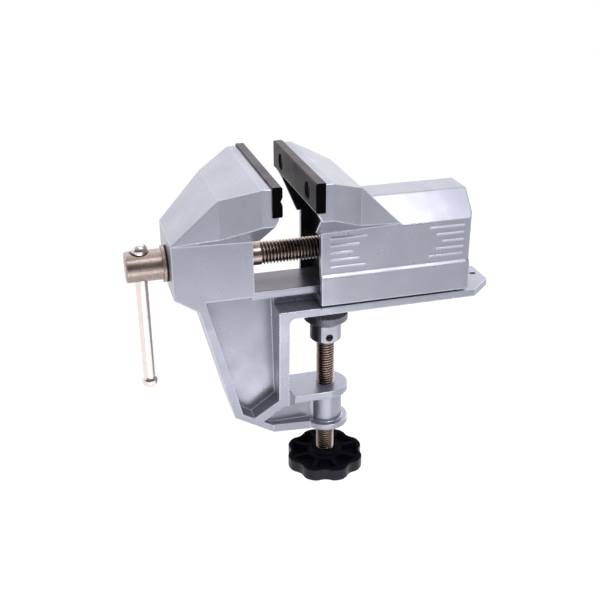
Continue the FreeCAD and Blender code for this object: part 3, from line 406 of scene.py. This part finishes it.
def lathe(mesh, profile, axis, steps=64):
    """Faces of a solid turned about an axis, from (along, radius) corners with closed ends."""
    rings = []
    for along, radius in profile:
        if radius <= 0.0:
            rings.append([mesh.verts.new(spun(axis, along, 0.0, 0.0))])
        else:
            rings.append([mesh.verts.new(spun(axis, along, radius, math.tau * step / steps))
                          for step in range(steps)])
    for low, high in zip(rings, rings[1:]):
        for step in range(steps):
            after = (step + 1) % steps
            corners = [low[step % len(low)], low[after % len(low)],
                       high[after % len(high)], high[step % len(high)]]
            corners = list(dict.fromkeys(corners))
            if len(corners) > 2:
                mesh.faces.new(corners)


def spun(axis, along, radius, angle):
    """A point at that radius and angle about the axis, turning right-handed along it."""
    across, up = radius * math.cos(angle), radius * math.sin(angle)
    return (along, across, up) if axis == "x" else (across, up, along)


def thread(mesh, axis, start, finish, outer, pitch, steps, bevel, run_in):
    """A right-hand thread with closed ends: it deepens over run_in, and is bevelled at its free end."""
    depth = THREAD_DEPTH * pitch
    corners = ((0.0, 1.0), (0.25, 1.0), (0.5625, 0.0), (0.6875, 0.0))
    turns = math.ceil((finish - start) / pitch) + 2
    rows = []
    for step in range(turns * steps + 1):
        row = []
        for share, low in corners:
            along = start + pitch * (step / steps + share - 1.0)
            along = min(max(along, start), finish)
            cut = depth * low * min(1.0, (along - start) / run_in)
            radius = min(outer - cut, outer - max(0.0, bevel - (finish - along)))
            row.append(mesh.verts.new(spun(axis, along, radius, math.tau * step / steps)))
        rows.append(row)
    for step in range(len(rows) - 1):
        here, after = rows[step], rows[step + 1]
        for corner in range(len(corners) - 1):
            mesh.faces.new((here[corner], after[corner], after[corner + 1], here[corner + 1]))
        if step + steps + 1 < len(rows):
            mesh.faces.new((here[-1], after[-1], rows[step + steps + 1][0], rows[step + steps][0]))
    bmesh.ops.remove_doubles(mesh, verts=mesh.verts, dist=SAME_PLACE)
    bmesh.ops.dissolve_degenerate(mesh, dist=SAME_PLACE, edges=mesh.edges)
    bmesh.ops.holes_fill(mesh, edges=[edge for edge in mesh.edges if edge.is_boundary], sides=0)


def new_piece(name, mesh, lift=0.0, sharp=TURNED_SHARP):
    """An object from a bmesh, raised by lift, with smooth faces and sharp edges over that many degrees."""
    bmesh.ops.recalc_face_normals(mesh, faces=mesh.faces)
    bmesh.ops.translate(mesh, verts=mesh.verts, vec=(0.0, 0.0, lift))
    data = bpy.data.meshes.new(name)
    mesh.to_mesh(data)
    mesh.free()
    data.shade_smooth()
    data.set_sharp_from_angle(angle=math.radians(sharp))
    piece = bpy.data.objects.new(name, data)
    bpy.context.scene.collection.objects.link(piece)
    return piece


def cut_away(piece, cutter):
    """The piece with the cutter's solid taken out; the cutter is then removed."""
    cut = piece.modifiers.new("cut", "BOOLEAN")
    cut.operation = "DIFFERENCE"
    cut.solver = "EXACT"
    cut.object = cutter
    shaped = bpy.data.meshes.new_from_object(piece.evaluated_get(bpy.context.evaluated_depsgraph_get()))
    piece.modifiers.remove(cut)
    old = piece.data
    piece.data = shaped
    bpy.data.meshes.remove(old)
    bpy.data.objects.remove(cutter)
    piece.data.set_sharp_from_angle(angle=math.radians(TURNED_SHARP))


def settle(piece, body, node, material):
    piece.data.materials.append(material)
    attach(piece, body)
    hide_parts(node)


# ---------------------------------------------------------------- one operator for each piece or group

class VISE_OT_castings(Operator):
    """Lacquer the two castings in silver paint"""
    bl_idname = "vise.castings"
    bl_label = "Castings"

    def execute(self, context):
        looks = context.scene.vise_finish
        shine = tuple(min(1.0, PAINT_SHINE * part) for part in looks.paint)
        # The frame's rail and tongue tops take dust with painted shade; the sliding jaw's hollow takes painted
        # shade.
        for node, name, stain in (("vise_frame", "silver_lacquer", (ledge_dust_and_shade, looks.dust_and_shade)),
                                  ("movable_jaw", "silver_lacquer_jaw", (jaw_hollow_shade, looks.shade))):
            wear(node, worn_finish_with_painted_light(name, looks.paint, looks.paint_dull, metallic=0.65, rough=(0.26, 0.36),
                                   speckle=0.35 * MM, cloud=9.0 * MM, bump=0.005 * MM, edge_highlight_colour=shine,
                                   edge_highlight_amount=looks.paint_edge, radius=looks.cast_edge, stains_and_shades=[stain]))
        return {"FINISHED"}


class VISE_OT_jaw_plates(Operator):
    """Blacken the jaw plates and their screws"""
    bl_idname = "vise.jaw_plates"
    bl_label = "Jaw plates"

    def execute(self, context):
        looks = context.scene.vise_finish
        steel = worn_finish_with_painted_light("blackened_steel", looks.plate, looks.plate_rub, metallic=0.0, rough=(0.38, 0.5),
                            speckle=0.25 * MM, cloud=6.0 * MM, bump=0.008 * MM, gloss=0.14,
                            lines=("x", 0.4 * MM), radius=0.4 * MM, mix=0.3,
                            # The lighter tops are a painted sheen; the black ends are the plates' own colour.
                            stains_and_shades=[(plate_top_sheen_mask, looks.plate_top_sheen), (plate_ends, looks.plate_end)],
                            dull=plate_ends)
        oxide = worn_finish_with_painted_light("black_oxide", looks.oxide, looks.plate, metallic=0.6, rough=(0.35, 0.5),
                            speckle=0.2 * MM, cloud=2.0 * MM, bump=0.005 * MM, radius=0.3 * MM)
        for side in ("fixed", "movable"):
            wear(f"{side}_jaw_plate", steel)
            for end in ("near", "far"):
                wear(f"{side}_jaw_screw_{end}", oxide)
        wear("spindle_retaining_screw", oxide)
        wear("pad_grub_screw", oxide)
        return {"FINISHED"}


class VISE_OT_main_screw(Operator):
    """Turn the main screw: its head with the bar's hole, its neck and its thread"""
    bl_idname = "vise.main_screw"
    bl_label = "Main screw"

    def execute(self, context):
        sizes = context.scene.vise_thread
        low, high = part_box("main_screw")
        height = (low.z + high.z) / 2
        head = (high.z - low.z) / 2
        outer = sizes.main_outer
        column_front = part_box("fixed_jaw_plate")[1].x - PLATE_TO_COLUMN
        neck_end = column_front + sizes.neck_end
        retainer_low, retainer_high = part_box("spindle_retaining_screw")
        groove = (retainer_low.x + retainer_high.x) / 2
        half = sizes.neck_groove_wide / 2
        turning = bmesh.new()
        lathe(turning, [
            (low.x, 0.0), (low.x, head - sizes.head_bevel), (low.x + sizes.head_bevel, head),
            (low.x + sizes.head_long, head), (low.x + sizes.head_long, outer), (groove - half, outer),
            (groove - half, sizes.neck_groove), (groove + half, sizes.neck_groove), (groove + half, outer),
            (neck_end, outer), (neck_end, 0.0)], "x")
        blank = new_piece("main_screw_turned", turning, height)
        drill = bmesh.new()
        reach = 1.5 * head
        lathe(drill, [
            (height - reach, 0.0), (height - reach, sizes.hole_mouth),
            (height - head, sizes.hole_mouth), (height - head + sizes.hole_cone, sizes.bar_hole),
            (height + head - sizes.hole_cone, sizes.bar_hole), (height + head, sizes.hole_mouth),
            (height + reach, sizes.hole_mouth), (height + reach, 0.0)], "z")
        bmesh.ops.translate(drill, verts=drill.verts, vec=(low.x + sizes.bar_back, 0.0, 0.0))
        cut_away(blank, new_piece("bar_drill", drill))
        looks = context.scene.vise_finish
        plating = worn_finish_with_painted_light("turned_nickel", looks.thread_dark, looks.thread_deep_and_shade, metallic=1.0,
                              rough=(0.22, 0.34), speckle=0.5 * MM, cloud=5.0 * MM, bump=0.004 * MM,
                              edge_highlight_colour=looks.nickel, edge_highlight_amount=looks.edge_shine,
                              lines=("x", 0.5 * MM), radius=0.3 * MM, mix=0.05)
        oily = worn_finish_with_painted_light("main_thread_nickel", looks.nickel_stain, looks.thread_dark, metallic=1.0,
                           rough=(0.2, 0.36), speckle=0.4 * MM, cloud=4.0 * MM, bump=0.004 * MM,
                           edge_highlight_colour=looks.nickel, edge_highlight_amount=looks.edge_shine, radius=0.12 * MM,
                           stains_and_shades=[(thread_roots("x", height, outer, sizes.main_pitch), looks.thread_deep_and_shade)])
        settle(blank, "spindle", "main_screw", plating)
        cut = bmesh.new()
        thread(cut, "x", neck_end - THREAD_LAP, high.x, outer, sizes.main_pitch, sizes.steps,
               sizes.end_bevel, sizes.main_pitch)
        spiral = new_piece("main_screw_thread", cut, height, THREAD_SHARP)
        settle(spiral, "spindle", "main_screw", oily)
        return {"FINISHED"}


class VISE_OT_clamp_screw(Operator):
    """Cut the clamp screw's thread, and turn its end inside the pad"""
    bl_idname = "vise.clamp_screw"
    bl_label = "Clamp screw"

    def execute(self, context):
        sizes = context.scene.vise_thread
        low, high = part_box("clamp_screw")
        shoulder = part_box("swivel_pad")[0].z - sizes.pad_gap
        cut = bmesh.new()
        thread(cut, "z", low.z, shoulder, sizes.clamp_outer, sizes.clamp_pitch, sizes.steps,
               sizes.end_bevel, sizes.clamp_pitch)
        spiral = new_piece("clamp_screw_thread", cut, 0.0, THREAD_SHARP)
        grub_low, grub_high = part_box("pad_grub_screw")
        groove = (grub_low.z + grub_high.z) / 2
        half = sizes.spigot_groove_wide / 2
        radius = sizes.spigot
        turning = bmesh.new()
        lathe(turning, [
            (shoulder - sizes.end_bevel, 0.0), (shoulder - sizes.end_bevel, radius),
            (groove - half, radius), (groove - half, sizes.spigot_groove),
            (groove + half, sizes.spigot_groove), (groove + half, radius),
            (high.z - sizes.end_bevel, radius), (high.z, radius - sizes.end_bevel), (high.z, 0.0)], "z")
        spigot = new_piece("clamp_screw_spigot", turning)
        looks = context.scene.vise_finish
        plating = worn_finish_with_painted_light("clamp_thread_nickel", looks.thread_dark, looks.nickel_stain, metallic=1.0,
                              rough=(0.18, 0.32), speckle=0.4 * MM, cloud=4.0 * MM, bump=0.004 * MM,
                              edge_highlight_colour=looks.nickel, edge_highlight_amount=looks.edge_shine,
                              radius=0.12 * MM, mix=0.4,
                              # The clamp thread darkens at its roots, and its side towards the arm takes
                              # painted shade.
                              stains_and_shades=[(thread_roots("z", 0.0, sizes.clamp_outer, sizes.clamp_pitch),
                                       looks.thread_deep_and_shade), (arm_side, looks.thread_deep_and_shade)])
        settle(spiral, "clamp", "clamp_screw", plating)
        settle(spigot, "clamp", "clamp_screw", plating)
        return {"FINISHED"}


class VISE_OT_handle(Operator):
    """Plate the tommy bar and its end caps, and finish the two washers"""
    bl_idname = "vise.handle"
    bl_label = "Tommy bar and washers"

    def execute(self, context):
        looks = context.scene.vise_finish
        drawn = worn_finish_with_painted_light("drawn_nickel", looks.nickel, looks.nickel_stain, metallic=1.0,
                            rough=(0.08, 0.18), speckle=0.6 * MM, cloud=7.0 * MM, bump=0.003 * MM,
                            radius=0.3 * MM, mix=0.15)
        for node in ("tommy_bar", "tommy_bar_cap_upper", "tommy_bar_cap_lower"):
            wear(node, drawn)
        bronze = worn_finish_with_painted_light("dull_bronze", looks.bronze, looks.nickel_stain, metallic=0.9,
                             rough=(0.3, 0.45), speckle=0.3 * MM, cloud=3.0 * MM, bump=0.006 * MM,
                             radius=0.3 * MM)
        wear("thrust_washer", bronze)
        fibre = worn_finish_with_painted_light("dark_fibre", looks.fibre, looks.plate_rub, metallic=0.0,
                            rough=(0.6, 0.8), speckle=0.3 * MM, cloud=2.0 * MM, bump=0.02 * MM,
                            radius=0.2 * MM, gloss=0.15)
        wear("back_washer", fibre)
        return {"FINISHED"}


class VISE_OT_pad(Operator):
    """Plate the swivel pad that presses under the table"""
    bl_idname = "vise.pad"
    bl_label = "Swivel pad"

    def execute(self, context):
        looks = context.scene.vise_finish
        shine = tuple(min(1.0, ZINC_SHINE * part) for part in looks.zinc)
        zinc = worn_finish_with_painted_light("zinc_plating", looks.zinc, looks.paint_dull, metallic=0.8,
                           rough=(0.26, 0.38), speckle=0.3 * MM, cloud=4.0 * MM, bump=0.008 * MM,
                           edge_highlight_colour=shine, edge_highlight_amount=looks.edge_shine, lines=("z", 0.3 * MM),
                           radius=0.4 * MM,
                           # The disc band, the top and the side towards the arm take painted shade.
                           stains_and_shades=[(where, looks.zinc_painted_shade) for where in (pad_disc_shade, facing_up, arm_side)])
        wear("swivel_pad", zinc)
        return {"FINISHED"}


class VISE_OT_knob(Operator):
    """Mould the knob in black plastic"""
    bl_idname = "vise.knob"
    bl_label = "Knob"

    def execute(self, context):
        looks = context.scene.vise_finish
        # Bluer painted sheen on the knob's sides and edges; its up-facing top stays plain black without gloss.
        moulded = worn_finish_with_painted_light("black_plastic", looks.plastic, looks.plastic_side_sheen, metallic=0.0,
                              rough=(0.26, 0.38), speckle=0.3 * MM, cloud=5.0 * MM, bump=0.006 * MM,
                              edge_highlight_colour=looks.plastic_side_sheen, edge_highlight_amount=looks.edge_shine, gloss=0.2,
                              radius=0.8 * MM, stains_and_shades=[(facing_up, looks.plastic)], dull=facing_up)
        wear("clamp_knob", moulded)
        return {"FINISHED"}


class VISE_OT_inner_parts(Operator):
    """Leave the nut and its pin in bare machined steel"""
    bl_idname = "vise.inner_parts"
    bl_label = "Nut and pin"

    def execute(self, context):
        looks = context.scene.vise_finish
        bare = worn_finish_with_painted_light("machined_steel", looks.steel, looks.paint_dull, metallic=0.9, rough=(0.25, 0.4),
                           speckle=0.3 * MM, cloud=3.0 * MM, bump=0.006 * MM, lines=("x", 0.3 * MM),
                           radius=0.3 * MM)
        for node in ("screw_nut", "nut_pin"):
            wear(node, bare)
        return {"FINISHED"}


class VISE_OT_stage(Operator):
    """Set up the pale floor, the soft lights and the camera"""
    bl_idname = "vise.stage"
    bl_label = "Floor, light and camera"

    def execute(self, context):
        studio = context.scene.vise_studio
        low, high = CAD_BOX
        self.floor(studio, low.z - studio.floor_drop)
        centre = (low + high) / 2
        for name, place, width, height, power in SOFTBOXES:
            lamp = bpy.data.lights.new(name, "AREA")
            lamp.shape = "RECTANGLE"
            lamp.size = width
            lamp.size_y = height
            lamp.energy = power
            holder = bpy.data.objects.new(name, lamp)
            holder.location = place
            holder.rotation_euler = (centre - Vector(place)).to_track_quat("-Z", "Y").to_euler()
            context.scene.collection.objects.link(holder)
        self.surround(studio)
        self.camera(context, studio)
        context.scene.view_settings.view_transform = "Standard"
        return {"FINISHED"}

    def floor(self, studio, height):
        mesh = bmesh.new()
        bmesh.ops.create_grid(mesh, x_segments=8, y_segments=8, size=FLOOR_HALF)
        bmesh.ops.translate(mesh, verts=mesh.verts, vec=(0.0, 0.0, height))
        floor = new_piece("studio_floor", mesh)
        nodes = Nodes("pale_floor")
        grain = nodes.grain(4.0 * MM)
        shade = tuple(0.97 * part for part in studio.floor_colour)
        nodes.feed(nodes.surface, Base_Color=nodes.blend(grain, studio.floor_colour, shade),
                   Roughness=nodes.between(grain, 0.7, 0.9))
        floor.data.materials.append(nodes.material)

    def surround(self, studio):
        """A room that is dim on the camera's side, bright behind the vise and brightest overhead."""
        world = bpy.data.worlds.new("studio_surround")
        world.use_nodes = True
        tree = world.node_tree
        way = tree.nodes.new("ShaderNodeSeparateXYZ")
        tree.links.new(tree.nodes.new("ShaderNodeTexCoord").outputs["Generated"], way.inputs[0])
        total = tree.nodes.new("ShaderNodeMath")
        total.operation = "ADD"
        for index, (letter, start, finish, low, high) in enumerate((
                ("Y", -0.5, 0.7, studio.front_light, studio.back_light),
                ("Z", 0.20, 0.85, 0.0, studio.top_light))):
            ramp = tree.nodes.new("ShaderNodeMapRange")
            ramp.interpolation_type = "SMOOTHSTEP"
            for socket, value in (("From Min", start), ("From Max", finish),
                                  ("To Min", low), ("To Max", high)):
                ramp.inputs[socket].default_value = value
            tree.links.new(way.outputs[letter], ramp.inputs["Value"])
            tree.links.new(ramp.outputs["Result"], total.inputs[index])
        tree.links.new(total.outputs[0], tree.nodes["Background"].inputs["Strength"])
        tree.nodes["Background"].inputs["Color"].default_value = (1.0, 1.0, 1.0, 1.0)
        bpy.context.scene.world = world

    def camera(self, context, studio):
        lens = bpy.data.cameras.new("camera")
        lens.lens = studio.lens
        lens.sensor_width = SENSOR_WIDE
        lens.clip_start = 0.01
        lens.clip_end = 20.0
        camera = bpy.data.objects.new("camera", lens)
        camera.location = studio.camera_place
        sight = Vector(studio.camera_aim) - Vector(studio.camera_place)
        camera.rotation_mode = "QUATERNION"
        roll = Quaternion((0.0, 0.0, 1.0), studio.camera_roll)
        camera.rotation_quaternion = sight.to_track_quat("-Z", "Y") @ roll
        context.scene.collection.objects.link(camera)
        context.scene.camera = camera


PIECES = (VISE_OT_castings, VISE_OT_jaw_plates, VISE_OT_main_screw, VISE_OT_clamp_screw, VISE_OT_handle,
          VISE_OT_pad, VISE_OT_knob, VISE_OT_inner_parts, VISE_OT_stage)
GROUPS = {"vise_thread": ThreadSizes, "vise_finish": FinishColours, "vise_studio": StudioSettings}


class VISE_PT_sidebar(Panel):
    """Lists the vise's settings and the operators that make its pieces"""
    bl_idname = "VISE_PT_sidebar"
    bl_label = "Bench Vise"
    bl_space_type = "VIEW_3D"
    bl_region_type = "UI"
    bl_category = "Bench Vise"

    def draw(self, context):
        for name, group in GROUPS.items():
            box = self.layout.box()
            for setting in group.__annotations__:
                box.prop(getattr(context.scene, name), setting)
        for piece in PIECES:
            self.layout.operator(piece.bl_idname)


def register():
    for name, group in GROUPS.items():
        bpy.utils.register_class(group)
        setattr(bpy.types.Scene, name, PointerProperty(type=group))
    for kind in (*PIECES, VISE_PT_sidebar):
        bpy.utils.register_class(kind)


def unregister():
    for kind in (VISE_PT_sidebar, *reversed(PIECES)):
        bpy.utils.unregister_class(kind)
    for name, group in GROUPS.items():
        delattr(bpy.types.Scene, name)
        bpy.utils.unregister_class(group)


def main():
    register()
    for piece in PIECES:
        group, name = piece.bl_idname.split(".")
        getattr(getattr(bpy.ops, group), name)()
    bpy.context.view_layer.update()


if __name__ == "__main__":
    main()
